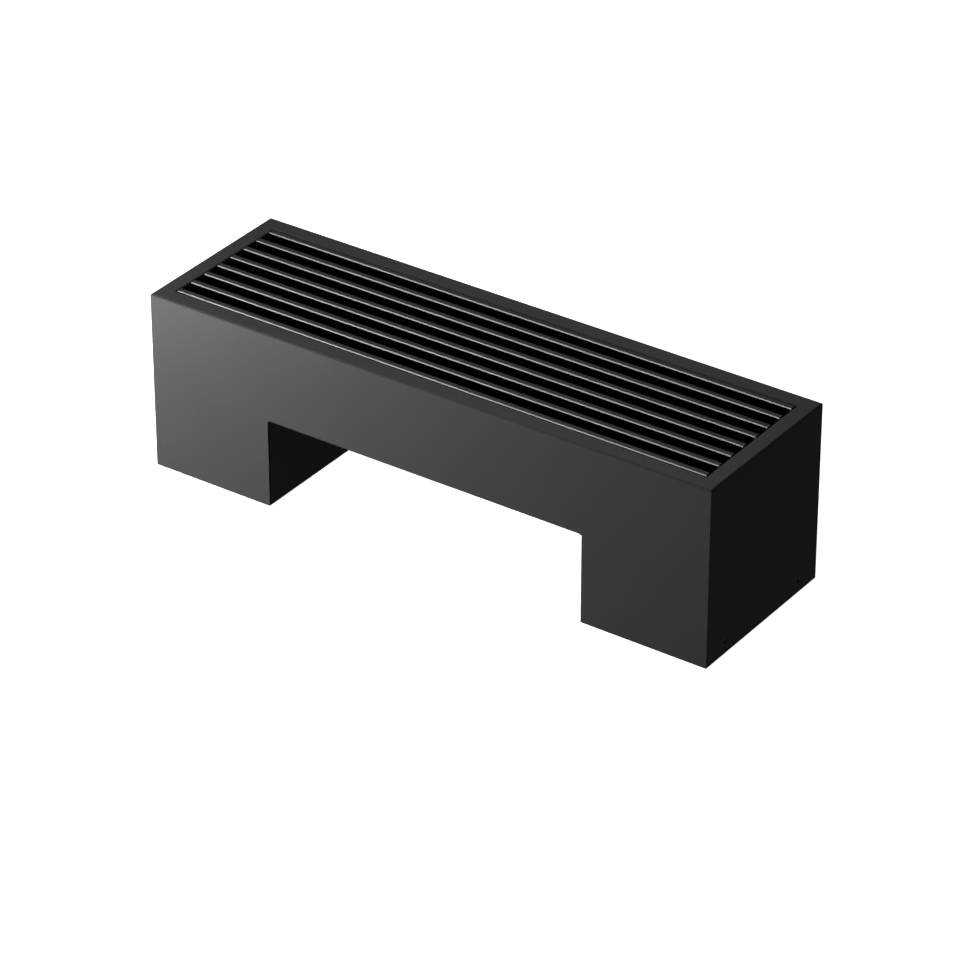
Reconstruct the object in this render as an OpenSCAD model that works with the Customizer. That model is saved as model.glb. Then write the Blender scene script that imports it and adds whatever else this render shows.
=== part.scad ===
// Floor-standing convector on two box legs: folded steel casing, lift-out linear grille, finned water coil,
// two stands with levelling feet, and a supply and a return valve in the right leg.
// X runs along the length, the front faces -Y, Z is up, and the origin is on the floor under the centre.

/* [Casing] */
// Length over the end panels
case_l = 600; // [570:10:700]
// Depth from the front face to the rear face
case_w = 180; // [176:1:220]
// Height of the rim above the floor
case_h = 180; // [150:1:240]
// Thickness of the folded steel sheet
sheet_t = 1.2; // [1:0.1:1.8]
// Inside radius of every fold in the casing
fold_r = 0.3; // [0.3:0.1:1]
// Width of the rim along the front and rear
rim_side = 17.5; // [14:0.5:20]
// Width of the rim at the two ends
rim_end = 16; // [12:0.5:20]
// Width of the ledge under the grille
ledge_w = 8; // [6:0.5:9]
// Gap between the casing's lower edge and the floor
floor_gap = 1; // [0.5:0.1:3]

/* [Legs] */
// Length of each leg along the casing
leg_l = 130; // [126:1:150]
// Width of the fold along the top of the gap
gap_fold_w = 12; // [8:1:16]
// Width of the folds round an inner leg panel
leg_fold_w = 10; // [8:1:11]

/* [Grille] */
// Number of slats
slat_n = 8; // [6:1:9]
// Width of a slat across its head
slat_t = 6.4; // [5:0.1:8]
// Height of a slat
slat_h = 18; // [16:0.5:19]
// Width of a slat below its head
slat_web = 4; // [3:0.1:4.5]
// Height of a slat's head down to its taper
slat_head_h = 5; // [4:0.5:6]
// Bevel along a slat's two top edges
slat_bevel = 0.7; // [0.5:0.1:1.4]
// Clear seam between the grille and the rim
grille_seam = 1; // [0.8:0.1:2]
// Thickness of the soft strip on the ledge
strip_t = 1; // [0.5:0.1:1.5]
// Number of tie rods
rod_n = 4; // [3:1:5]
// Radius of a tie rod
rod_r = 2; // [1.5:0.1:2.4]

/* [Coil] */
// Radius of a coil tube
tube_r = 7.5; // [6:0.1:8]
// Wall of a coil tube
tube_wall = 0.8; // [0.6:0.1:1.2]
// Distance between the front and rear tubes
tube_pitch_y = 65; // [58:1:70]
// Distance between the lower and upper tubes
tube_pitch_z = 25; // [22:0.5:27]
// Distance from the fins to the casing's front and rear faces
coil_side = 25; // [24:0.5:30]
// Height of a fin
fin_h = 50; // [46:1:52]
// Thickness of a fin
fin_t = 0.4; // [0.3:0.1:0.6]
// Distance from one fin to the next
fin_pitch = 5; // [4:0.5:8]
// Height of the coil's lower edge above the top of the gap
coil_rise = 6; // [5:0.5:8]
// Clear height between the coil and the ledges
coil_head = 13.8; // [12:0.1:24]
// Outer radius of a header
header_r = 11; // [10:0.5:12]
// Wall of a header
header_wall = 1.5; // [1:0.1:2]

/* [Valves] */
// Radius of the half-inch port that takes the building's pipe
port_r = 9.3; // [9:0.1:9.6]
// Depth of that port
port_l = 14; // [12:0.5:16]
// Outer radius of the rounded valve body
valve_r = 13; // [12:0.5:14]
// Drop from the coil's lower tube to the mouth of the port
valve_drop = 36; // [32:1:44]
// Radius of a valve spindle
spindle_r = 3.5; // [3:0.1:4]
// Outer radius of the hand wheel
wheel_r = 17; // [15:0.5:18]
// Height of the hand wheel
wheel_h = 20; // [18:1:21]

/* [Stands] */
// Thickness of the galvanised stand sheet
plate_t = 2; // [1.5:0.1:2.5]
// Height of a levelling foot's pad
pad_h = 4; // [3.5:0.5:5]
// Radius of a levelling foot's pad
pad_r = 11; // [9:0.5:11.5]
// Radius of a levelling foot's stud
stud_r = 4; // [3:0.1:4.2]
// Distance from a levelling foot to its stand's end lip
foot_in = 41; // [38:0.5:46]
// Distance from a levelling foot to the front or rear edge of its stand
foot_edge = 12; // [12:0.5:14]
// Radius of a floor anchor hole
anchor_r = 4.25; // [3:0.25:5]
// Distance between a stand's two anchor holes
anchor_gap = 60; // [50:1:64]
// Distance from an end screw to the front or rear edge of its stand
screw_edge = 15; // [13:0.5:19]
// Height of the screws in an end panel
screw_z = 12.5; // [12:0.1:15]
// Radius of an end screw's countersunk head
head_r = 5; // [4.5:0.1:5.4]
// Radius of an end screw's shank
shank_r = 2.5; // [2:0.1:2.6]

/* [Hidden] */
$fn = 48;
// Overrun of every cut past the face it opens
over = 1;
// Depth that one form reaches into another where the two are one solid
lap = 0.5;
// Radial clearance of a running or sliding fit
fit = 0.05;
// Flat steps in each fold
fold_steps = 4;
// Radius of a hexagon's turned end face, against the radius to its corners
hex_face_share = 0.84;
// Angle at which a hexagon's corners are turned off
hex_turn = 30;

// Casing planes
half_l = case_l / 2;
half_w = case_w / 2;
leg_in = half_l - leg_l;
wall_in = half_w - sheet_t;
end_in = half_l - sheet_t;
fold_relief = 2;
ledge_z = case_h - slat_h - strip_t;
ledge_under = ledge_z - sheet_t;
fin_w = case_w - 2 * coil_side;
gap_h = ledge_under - coil_head - fin_h - coil_rise;

// Grille
grille_l = case_l - 2 * (rim_end + grille_seam);
grille_w = case_w - 2 * (rim_side + grille_seam);
slat_pitch = (grille_w - slat_t) / (slat_n - 1);
slat_taper = (slat_t - slat_web) / 2;
slat_z = case_h - slat_h;
rod_rise = 5.5;
rod_gap = grille_l / rod_n;
spacer_wall = 1.6;
rivet_r = 3.6;
rivet_h = 1;
strip_edge = 1;
strip_w = ledge_w - 2 * strip_edge;

// Centre brace
brace_w = 16;
brace_h = 8;

// Coil
coil_z = gap_h + coil_rise;
tube_lo = coil_z + (fin_h - tube_pitch_z) / 2;
tube_hi = tube_lo + tube_pitch_z;
tube_y = tube_pitch_y / 2;
fin_corner = 2;
collar_t = 0.4;
collar_gap = 0.4;
coil_plate_t = 1.5;
coil_plate_fold = 6;
coil_plate_gap = 0.3;
bend_clear = 12;
bend_stub = 8;
bend_x = -end_in + bend_clear + tube_r + tube_y;
saddle_clear = 10;
saddle_x = leg_in + sheet_t + saddle_clear;
saddle_overhang = 8;
fins_lo = bend_x + bend_stub + coil_plate_t;
fins_hi = saddle_x + plate_t + saddle_overhang;
fin_n = floor((fins_hi - fins_lo - 2 * coil_plate_gap + collar_gap) / fin_pitch);
fin_first = (fins_lo + fins_hi - fin_n * fin_pitch + collar_gap) / 2;

// Headers
header_clear = 0.5;
header_stub = coil_plate_fold + header_clear;
header_shoulder = 1.1;
header_cap = 2;
header_bevel = 1;
header_x = fins_hi + coil_plate_t + header_stub + header_r;
tube_end = header_x - header_r / 2;
tap_r = 5;
tap_l = 6;
hex_small = 7.5;
hex_small_h = 5;
vent_neck_r = 4.6;
vent_neck_h = 4;
bleed_r = 2.5;
bleed_square = 3.4;
bleed_square_h = 3;
bleed_reach = 7;

// Union between a header and its valve
spigot_r = 10.4;
spigot_l = 10;
header_lo = tube_lo - spigot_r - header_shoulder;
header_hi = tube_hi + spigot_r + header_shoulder;
spigot_bore = 7;
washer_t = 1.5;
washer_r = 9.8;
tail_t = 3;
tail_r = 10;
tail_neck_r = 8.5;
tail_neck_l = 9;
union_r = 17;
union_grip = 7;
union_lip = 3;

// Valves
spigot_x = header_x + header_r + spigot_l;
tail_x = spigot_x + washer_t;
valve_x = tail_x + tail_t + tail_neck_l + valve_r;
valve_z = tube_lo;
port_z = valve_z - valve_drop;
port_hex_r = 15.6;
port_hex_h = port_l;
valve_neck_r = 10.5;
valve_top_h = 14;
valve_bulge = 12;
bulge_share = 2 / 3;
valve_bore = 6.5;
chamber_r = 8;
bonnet_z = valve_z + valve_top_h;
bonnet_stub = 6;
bonnet_hex_r = 12.7;
bonnet_hex_h = 7;
bonnet_neck_r = 6;
bonnet_neck_h = 4.5;
neck_z = bonnet_z + bonnet_hex_h + bonnet_neck_h;
disc_r = 6;
disc_h = 3;
seat_drop = 3;

// Hand wheel, spindles and cap
wheel_gap = 0.3;
wheel_z = neck_z + wheel_gap;
wheel_wall = 2.4;
wheel_round = 2;
wheel_rim = 1.5;
wheel_dish = 0.8;
wheel_hub_r = 5.5;
wheel_grips = 12;
wheel_grip_r = 2.2;
wheel_grip_in = 1;
hub_depth = 12;
spindle_top = wheel_z + hub_depth;
shield_spindle_rise = 3;
shield_spindle_top = neck_z + shield_spindle_rise;
key_r = 2.3;
key_depth = 3;
cap_r = 9.5;
cap_wall = 2;
cap_h = 12;
cap_round = 1.5;
cap_grips = 18;
cap_grip_r = 1.2;
cap_grip_in = 0.5;

// Stands
dimple_h = 2.2;
lip_x = end_in - dimple_h;
plate_top = pad_h + plate_t;
plate_side_clear = 13.5;
plate_half_w = wall_in - plate_side_clear;
plate_fold_r = 1.5;
lip_h = 18;
foot_y = plate_half_w - foot_edge;
screw_gap = 2 * (plate_half_w - screw_edge);
window_l = 66;
window_edge = 15;
window_w = 2 * (foot_y - window_edge);
anchor_in = 16;
anchor_x = valve_x - window_l / 2 - anchor_in;
foot_x = lip_x - foot_in;
stud_l = 26;
stud_bevel = 0.6;
pad_bevel = 1.2;
stud_slot_w = 1.4;
stud_slot_h = 2;
nut_r = 7.5;
nut_h = 6.5;
cradle_clear = 1;
horn_w = 12;
horn_h = 20;
saddle_half_w = fin_w / 2 + cradle_clear + horn_w;
saddle_fold_w = 16;
saddle_fold_in = 17;
saddle_fold_half = plate_half_w - saddle_fold_in;
saddle_screw_in = 8;
saddle_screw_y = saddle_fold_half - saddle_screw_in;
saddle_hole_r = 16;
saddle_hole_y = saddle_screw_y - saddle_hole_r;
rest_h = 2;
rest_grip = 4;
rest_wall = 2;
rest_end = 5;
rest_half = fin_w / 2 - rest_end;
cradle_z = coil_z - rest_h;
saddle_screw_r = 2.5;
saddle_screw_head_r = 5.5;
saddle_screw_flange_h = 1.2;
saddle_screw_hex_r = 4.6;
saddle_screw_head_h = 4.5;
saddle_screw_tail = 1.5;
saddle_screw_gap = 0.5;
saddle_screw_x = saddle_x + plate_t + plate_fold_r + saddle_screw_head_r + saddle_screw_gap;

// Countersunk end screws in their dimples
sink = 0.3;
csk_r = head_r + fit + sink;
hole_clear = 0.25;
csk_h = csk_r - shank_r - hole_clear;
dimple_r = csk_r - sheet_t + sheet_t * sqrt(2);
screw_l = 13;
hex_key_r = 1.75;
hex_key_h = 1.6;
end_nut = 8;
end_nut_h = 4;

CASING = [0.19, 0.19, 0.2];
SLAT = [0.3, 0.3, 0.31];
BLACK = [0.07, 0.07, 0.07];
ALUMINIUM = [0.8, 0.81, 0.83];
COPPER = [0.72, 0.43, 0.28];
BRASS = [0.78, 0.65, 0.35];
ZINC = [0.66, 0.68, 0.7];
RUBBER = [0.1, 0.1, 0.1];

// Section of folded sheet along the corner points of its middle line
function unit(v) = v / norm(v);
function left_of(d) = [-d.y, d.x];
function turn(a, b) = sign(a.x * b.y - a.y * b.x);
function fold_arc(corner, before, after, radius, middle) =
    [for (i = [0 : fold_steps])
        let (a = 90 * i / fold_steps)
        corner + (after - before) * middle + radius * (sin(a) * before - cos(a) * after)];
function sheet_side(path, t, r, s) =
    let (last = len(path) - 1)
    concat(
        [path[0] + s * t / 2 * left_of(unit(path[1] - path[0]))],
        [for (i = [1 : last - 1])
            let (before = unit(path[i] - path[i - 1]), after = unit(path[i + 1] - path[i]))
            each fold_arc(path[i], before, after, r + t / 2 - s * turn(before, after) * t / 2, r + t / 2)],
        [path[last] + s * t / 2 * left_of(unit(path[last] - path[last - 1]))]);
function reversed(list) = [for (i = [len(list) - 1 : -1 : 0]) list[i]];

module folded(path, t, r)
    polygon(concat(sheet_side(path, t, r, 1), reversed(sheet_side(path, t, r, -1))));

// A section drawn in Y and Z, run along X between two planes
module along_x(from, to)
    translate([from, 0, 0])
        rotate([90, 0, 90])
            linear_extrude(to - from)
                children();

// A section drawn in X and Z, run along Y to both sides of the middle
module along_y(half)
    rotate([90, 0, 0])
        linear_extrude(2 * half, center = true)
            children();

module box(lo, hi)
    translate(lo)
        cube(hi - lo);

// Hexagon with its corners turned off at both ends
module hexagon(h, r) {
    face = r * hex_face_share;
    turned = (r + lap - face) * tan(hex_turn);
    intersection() {
        cylinder(h = h, r = r, $fn = 6);
        rotate_extrude()
            polygon([
                [0, 0],
                [face, 0],
                [r + lap, turned],
                [r + lap, h - turned],
                [face, h],
                [0, h]]);
    }
}

// Outline of a moulded grip, with a groove for each finger
module grip_outline(r, grooves, groove_r, groove_in)
    difference() {
        circle(r = r);
        for (i = [0 : grooves - 1])
            rotate(360 * (i + 0.5) / grooves)
                translate([r + groove_r - groove_in, 0])
                    circle(r = groove_r);
    }

// Ring that cuts a bevel round the top of a grip
module top_bevel(r, h, bevel)
    rotate_extrude()
        polygon([
            [r - bevel, h + over],
            [r - bevel, h],
            [r + over, h - bevel - over],
            [r + over, h + over]]);

module both_y()
    for (s = [0, 1])
        mirror([0, s, 0])
            children();

module both_x()
    for (s = [0, 1])
        mirror([s, 0, 0])
            children();

// Wall, rim, lip and ledge of one side of the casing, at its negative outer plane
function side_path(half, rim) = [
    [-half + sheet_t / 2, floor_gap],
    [-half + sheet_t / 2, case_h - sheet_t / 2],
    [-half + rim - sheet_t / 2, case_h - sheet_t / 2],
    [-half + rim - sheet_t / 2, ledge_z - sheet_t / 2],
    [-half + rim + ledge_w, ledge_z - sheet_t / 2]];

// Mitre line at the front left corner, from outside the casing to past the ledge
mitre = [
    [-half_l - over, -half_w - over * rim_side / rim_end],
    [-half_l + rim_end, -half_w + rim_side],
    [-half_l + rim_end + ledge_w + over, -half_w + rim_side + ledge_w + over]];

function flip_x(points) = [for (p = points) [-p.x, p.y]];
function flip_y(points) = [for (p = points) [p.x, -p.y]];

module mitred(outline)
    intersection() {
        children();
        translate([0, 0, -over])
            linear_extrude(case_h + 2 * over)
                polygon(outline);
    }

module front_panel()
    color(CASING)
    mitred(concat(mitre, reversed(flip_x(mitre)))) {
        union() {
            difference() {
                along_x(-half_l, half_l)
                    folded(side_path(half_w, rim_side), sheet_t, fold_r);
                box([-leg_in, -half_w - over, -over], [leg_in, -wall_in + over, gap_h]);
                box([fold_relief - leg_in, -half_w - over, gap_h - over],
                    [leg_in - fold_relief, -wall_in + over, gap_h + sheet_t + fold_r + fold_relief]);
            }
            along_x(fold_relief - leg_in, leg_in - fold_relief)
                folded([
                    [-half_w + gap_fold_w, gap_h + sheet_t / 2],
                    [-half_w + sheet_t / 2, gap_h + sheet_t / 2],
                    [-half_w + sheet_t / 2, gap_h + sheet_t + fold_r + fold_relief + lap]], sheet_t, fold_r);
        }
    }

module rear_panel()
    mirror([0, 1, 0])
        front_panel();

// Pressed dimples and countersunk holes for the two end screws, on an end panel's outer plane
module at_end_screws()
    both_y()
        translate([-half_l, screw_gap / 2, screw_z])
            rotate([0, 90, 0])
                children();

module left_end_panel()
    color(CASING)
    difference() {
        union() {
            mitred(concat(mitre, reversed(flip_y(mitre))))
                along_y(half_w)
                    folded(side_path(half_l, rim_end), sheet_t, fold_r);
            at_end_screws()
                translate([0, 0, sheet_t - lap])
                    cylinder(h = lap + dimple_h, r1 = dimple_r + lap, r2 = dimple_r - dimple_h);
        }
        at_end_screws() {
            translate([0, 0, -over]) {
                cylinder(h = csk_h + over, r1 = csk_r + over, r2 = csk_r - csk_h);
                cylinder(h = sheet_t + dimple_h + 2 * over, r = shank_r + hole_clear);
            }
        }
    }

module right_end_panel()
    mirror([1, 0, 0])
        left_end_panel();

// Tray that closes a leg towards the gap, folded back along its front, rear and top
module right_leg_inner_panel() {
    near = leg_in + sheet_t / 2;
    far = leg_in + leg_fold_w;
    side = wall_in - sheet_t / 2;
    top = gap_h - sheet_t / 2;
    shoulder = gap_h - sheet_t - fold_r - fold_relief;
    color(CASING) {
        union() {
            translate([0, 0, floor_gap])
                linear_extrude(shoulder - floor_gap)
                    folded([[far, -side], [near, -side], [near, side], [far, side]], sheet_t, fold_r);
            along_y(side - sheet_t / 2 - fold_relief)
                folded([[near, shoulder - lap], [near, top], [far, top]], sheet_t, fold_r);
        }
    }
}

module left_leg_inner_panel()
    mirror([1, 0, 0])
        right_leg_inner_panel();

// Channel across the casing, spot welded to both long walls under the ledges
module centre_brace() {
    side = brace_w / 2 - sheet_t / 2;
    foot = ledge_under - brace_h;
    top = ledge_under - sheet_t / 2;
    color(CASING)
        along_y(wall_in)
            folded([[-side, foot], [-side, top], [side, top], [side, foot]], sheet_t, fold_r);
}

// Soft strips glued to the ledge: two long ones and two short ones between them
module grille_rest_strips() {
    long_x = half_l - rim_end - strip_edge;
    long_y = half_w - rim_side - strip_edge;
    color(RUBBER) {
        both_y()
            box([-long_x, -long_y, ledge_z], [long_x, strip_w - long_y, ledge_z + strip_t]);
        both_x()
            box([-long_x, strip_w - long_y, ledge_z],
                [strip_w - long_x, long_y - strip_w, ledge_z + strip_t]);
    }
}

function slat_y(i) = -grille_w / 2 + slat_t / 2 + (i - 1) * slat_pitch;

// Extruded slat: bevelled head, taper, and a thinner web drilled for the tie rods
module grille_slat(i)
    color(SLAT)
    difference() {
        translate([0, slat_y(i), 0])
            along_x(-grille_l / 2, grille_l / 2)
                polygon([
                    [-slat_web / 2, slat_z],
                    [slat_web / 2, slat_z],
                    [slat_web / 2, case_h - slat_head_h - slat_taper],
                    [slat_t / 2, case_h - slat_head_h],
                    [slat_t / 2, case_h - slat_bevel],
                    [slat_t / 2 - slat_bevel, case_h],
                    [-slat_t / 2 + slat_bevel, case_h],
                    [-slat_t / 2, case_h - slat_bevel],
                    [-slat_t / 2, case_h - slat_head_h],
                    [-slat_web / 2, case_h - slat_head_h - slat_taper]]);
        at_rods()
            translate([0, 0, slat_y(i) - slat_web / 2 - over])
                cylinder(h = slat_web + 2 * over, r = rod_r + fit);
    }

// Local +Z runs along +Y here, from the middle of the grille
module at_rods()
    for (i = [0 : rod_n - 1])
        translate([(i - (rod_n - 1) / 2) * rod_gap, 0, slat_z + rod_rise])
            rotate([-90, 0, 0])
                children();

// Rods across all the slats, riveted over the two outer ones
module grille_tie_rods() {
    reach = slat_y(slat_n) + slat_web / 2;
    color(BLACK)
        at_rods() {
            translate([0, 0, -reach - lap])
                cylinder(h = 2 * (reach + lap), r = rod_r);
            translate([0, 0, reach])
                cylinder(h = rivet_h, r1 = rivet_r, r2 = rivet_r - rivet_h);
            translate([0, 0, -reach - rivet_h])
                cylinder(h = rivet_h, r1 = rivet_r - rivet_h, r2 = rivet_r);
        }
}

module grille_spacers()
    color(BLACK)
    at_rods()
        for (i = [1 : slat_n - 1])
            translate([0, 0, slat_y(i) + slat_web / 2])
                linear_extrude(slat_pitch - slat_web)
                    difference() {
                        circle(r = rod_r + fit + spacer_wall);
                        circle(r = rod_r + fit);
                    }

module at_tubes()
    for (y = [-tube_y, tube_y])
        for (z = [tube_lo, tube_hi])
            translate([0, y, z])
                rotate([0, 90, 0])
                    children();

// Outline of a fin in Y and Z, with its corners cut and a hole for each tube
module fin_outline(hole) {
    w = fin_w / 2;
    difference() {
        polygon([
            [-w + fin_corner, coil_z],
            [w - fin_corner, coil_z],
            [w, coil_z + fin_corner],
            [w, coil_z + fin_h - fin_corner],
            [w - fin_corner, coil_z + fin_h],
            [-w + fin_corner, coil_z + fin_h],
            [-w, coil_z + fin_h - fin_corner],
            [-w, coil_z + fin_corner]]);
        for (y = [-tube_y, tube_y])
            for (z = [tube_lo, tube_hi])
                translate([y, z])
                    circle(r = hole);
    }
}

// Fins pressed on to the tubes, each with drawn collars that set the distance to the next
module fin_pack()
    color(ALUMINIUM)
    for (i = [0 : fin_n - 1])
        translate([fin_first + i * fin_pitch, 0, 0]) {
            along_x(0, fin_t)
                fin_outline(tube_r + fit);
            along_x(fin_t, fin_pitch - collar_gap)
                for (y = [-tube_y, tube_y])
                    for (z = [tube_lo, tube_hi])
                        translate([y, z])
                            difference() {
                                circle(r = tube_r + fit + collar_t);
                                circle(r = tube_r + fit);
                            }
        }

// Straight copper tube from the return bend into its header
module coil_tube(y, z)
    color(COPPER)
    translate([bend_x, y, z])
        rotate([0, 90, 0])
            linear_extrude(tube_end - bend_x)
                difference() {
                    circle(r = tube_r);
                    circle(r = tube_r - tube_wall);
                }

module front_lower_tube() coil_tube(-tube_y, tube_lo);
module front_upper_tube() coil_tube(-tube_y, tube_hi);
module rear_lower_tube() coil_tube(tube_y, tube_lo);
module rear_upper_tube() coil_tube(tube_y, tube_hi);

// Half turn that joins the front tube to the rear one at the same height
module return_bend(z)
    color(COPPER)
    translate([bend_x, 0, z])
        rotate([0, 0, 90])
            rotate_extrude(angle = 180)
                translate([tube_y, 0])
                    difference() {
                        circle(r = tube_r);
                        circle(r = tube_r - tube_wall);
                    }

module lower_return_bend() return_bend(tube_lo);
module upper_return_bend() return_bend(tube_hi);

// End plate of the coil, folded outwards along its top and bottom; x is its face against the fins
module coil_plate(x, way) {
    near = x + way * coil_plate_t / 2;
    far = x + way * (coil_plate_t + coil_plate_fold);
    lo = coil_z + coil_plate_t / 2;
    hi = coil_z + fin_h - coil_plate_t / 2;
    color(ZINC)
        difference() {
            along_y(fin_w / 2)
                folded([[far, lo], [near, lo], [near, hi], [far, hi]], coil_plate_t, fold_r);
            translate([x, 0, 0])
                at_tubes()
                    cylinder(h = 2 * (coil_plate_t + over), r = tube_r + fit, center = true);
        }
}

module left_coil_plate() coil_plate(fins_lo, -1);
module right_coil_plate() coil_plate(fins_hi, 1);

// Upright brass collector with a threaded spigot towards its valve and a tapped end
module header(side, tapped_end) {
    y = side * tube_y;
    color(BRASS)
        difference() {
            union() {
                translate([header_x, y, 0])
                    rotate_extrude()
                        polygon([
                            [0, header_lo],
                            [header_r - header_bevel, header_lo],
                            [header_r, header_lo + header_bevel],
                            [header_r, header_hi - header_bevel],
                            [header_r - header_bevel, header_hi],
                            [0, header_hi]]);
                translate([header_x, y, tube_lo])
                    rotate([0, 90, 0])
                        cylinder(h = header_r + spigot_l, r = spigot_r);
            }
            translate([header_x, y, header_lo + header_cap])
                cylinder(h = header_hi - header_lo - 2 * header_cap, r = header_r - header_wall);
            translate([header_x, y, tube_lo])
                rotate([0, 90, 0])
                    cylinder(h = header_r + spigot_l + over, r = spigot_bore);
            for (z = [tube_lo, tube_hi])
                translate([header_x, y, z])
                    rotate([0, -90, 0])
                        cylinder(h = header_r + over, r = tube_r + fit);
            if (tapped_end)
                translate([header_x, y, header_lo - over])
                    cylinder(h = header_hi - header_lo + 2 * over, r = tap_r + fit);
        }
}

module supply_header() header(-1, false);
module return_header() header(1, true);

// Vent screwed into the top of the return header, bored for the bleed screw
module air_vent_body()
    color(BRASS)
    translate([header_x, tube_y, header_hi])
        difference() {
            union() {
                translate([0, 0, -tap_l])
                    cylinder(h = tap_l, r = tap_r);
                hexagon(hex_small_h, hex_small);
                translate([0, 0, hex_small_h])
                    cylinder(h = vent_neck_h, r = vent_neck_r);
            }
            translate([0, 0, -tap_l - over])
                cylinder(h = tap_l + hex_small_h + vent_neck_h + 2 * over, r = bleed_r + fit);
        }

// Bleed screw with a square head for the radiator key
module bleed_screw()
    color(BRASS)
    translate([header_x, tube_y, header_hi + hex_small_h + vent_neck_h]) {
        translate([0, 0, -bleed_reach])
            cylinder(h = bleed_reach, r = bleed_r);
        rotate([0, 0, 45])
            cylinder(h = bleed_square_h, r = bleed_square, $fn = 4);
    }

module drain_plug()
    color(BRASS)
    translate([header_x, tube_y, header_lo]) {
        cylinder(h = tap_l, r = tap_r);
        translate([0, 0, -hex_small_h])
            hexagon(hex_small_h, hex_small);
    }

// Nut that pulls the valve's tail against the header's spigot
module union_nut(side)
    color(BRASS)
    translate([spigot_x - union_grip, side * tube_y, valve_z])
        rotate([0, 90, 0])
            difference() {
                hexagon(union_grip + washer_t + tail_t + fit + union_lip, union_r);
                translate([0, 0, -over])
                    cylinder(h = over + union_grip + washer_t + tail_t + fit, r = spigot_r + fit);
                translate([0, 0, union_grip])
                    cylinder(h = washer_t + tail_t + union_lip + 2 * over, r = tail_neck_r + fit);
            }

module supply_union_nut() union_nut(-1);
module return_union_nut() union_nut(1);

module union_washers()
    color(RUBBER)
    for (side = [-1, 1])
        translate([spigot_x, side * tube_y, valve_z])
            rotate([0, 90, 0])
                linear_extrude(washer_t)
                    difference() {
                        circle(r = washer_r);
                        circle(r = spigot_bore);
                    }

// Angle valve: pipe port below, tail towards the header, tapped top for its bonnet
module valve_body(side)
    color(BRASS)
    difference() {
        union() {
            translate([valve_x, side * tube_y, 0]) {
                translate([0, 0, port_z])
                    hexagon(port_hex_h, port_hex_r);
                rotate_extrude()
                    polygon([
                        [0, port_z + port_hex_h - lap],
                        [valve_neck_r, port_z + port_hex_h - lap],
                        [valve_neck_r, valve_z - valve_bulge],
                        [valve_r, valve_z - valve_bulge * bulge_share],
                        [valve_r, valve_z + valve_bulge * bulge_share],
                        [valve_neck_r, valve_z + valve_bulge],
                        [valve_neck_r, bonnet_z],
                        [0, bonnet_z]]);
            }
            translate([tail_x, side * tube_y, valve_z])
                rotate([0, 90, 0]) {
                    cylinder(h = tail_t, r = tail_r);
                    cylinder(h = valve_x - tail_x, r = tail_neck_r);
                }
        }
        translate([valve_x, side * tube_y, 0]) {
            translate([0, 0, port_z - over])
                cylinder(h = port_l + over, r = port_r);
            translate([0, 0, port_z])
                cylinder(h = valve_z - port_z, r = valve_bore);
            translate([0, 0, valve_z - seat_drop])
                cylinder(h = valve_top_h + seat_drop + over, r = chamber_r);
        }
        translate([tail_x - over, side * tube_y, valve_z])
            rotate([0, 90, 0])
                cylinder(h = valve_x - tail_x + over, r = valve_bore);
    }

module supply_valve_body() valve_body(-1);
module return_valve_body() valve_body(1);

module bonnet(side)
    color(BRASS)
    translate([valve_x, side * tube_y, bonnet_z])
        difference() {
            union() {
                translate([0, 0, -bonnet_stub])
                    cylinder(h = bonnet_stub, r = chamber_r - fit);
                hexagon(bonnet_hex_h, bonnet_hex_r);
                translate([0, 0, bonnet_hex_h])
                    cylinder(h = bonnet_neck_h, r = bonnet_neck_r);
            }
            translate([0, 0, -bonnet_stub - over])
                cylinder(h = bonnet_stub + bonnet_hex_h + bonnet_neck_h + 2 * over, r = spindle_r + fit);
        }

module supply_bonnet() bonnet(-1);
module return_bonnet() bonnet(1);

// Spindle with its valve disc, up to a given height
module spindle(side, top)
    translate([valve_x, side * tube_y, valve_z]) {
        cylinder(h = disc_h, r = disc_r);
        cylinder(h = top - valve_z, r = spindle_r);
    }

module supply_spindle()
    color(BRASS)
    spindle(-1, spindle_top);

module lockshield_spindle()
    color(BRASS)
    difference() {
        spindle(1, shield_spindle_top);
        translate([valve_x, tube_y, shield_spindle_top - key_depth])
            cylinder(h = key_depth + over, r = key_r, $fn = 6);
    }

// Moulded wheel, hollow underneath round its hub, with finger grooves round the rim
module hand_wheel()
    color(BLACK)
    translate([valve_x, -tube_y, wheel_z])
        difference() {
            linear_extrude(wheel_h)
                grip_outline(wheel_r, wheel_grips, wheel_grip_r, wheel_grip_in);
            top_bevel(wheel_r, wheel_h, wheel_round);
            translate([0, 0, wheel_h - wheel_dish])
                cylinder(h = wheel_dish + over, r = wheel_r - wheel_round - wheel_rim);
            translate([0, 0, -over])
                linear_extrude(wheel_h - wheel_dish - wheel_wall + over)
                    difference() {
                        circle(r = wheel_r - wheel_wall);
                        circle(r = wheel_hub_r);
                    }
            translate([0, 0, -over])
                cylinder(h = hub_depth + over, r = spindle_r + fit);
        }

// Moulded cap pushed on to the bonnet's neck, with fine grooves to grip it by
module lockshield_cap()
    color(BLACK)
    translate([valve_x, tube_y, bonnet_z + bonnet_hex_h])
        difference() {
            linear_extrude(cap_h)
                grip_outline(cap_r, cap_grips, cap_grip_r, cap_grip_in);
            top_bevel(cap_r, cap_h, cap_round);
            translate([0, 0, -over])
                cylinder(h = over + cap_h - cap_wall, r = bonnet_neck_r + fit);
        }

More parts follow.
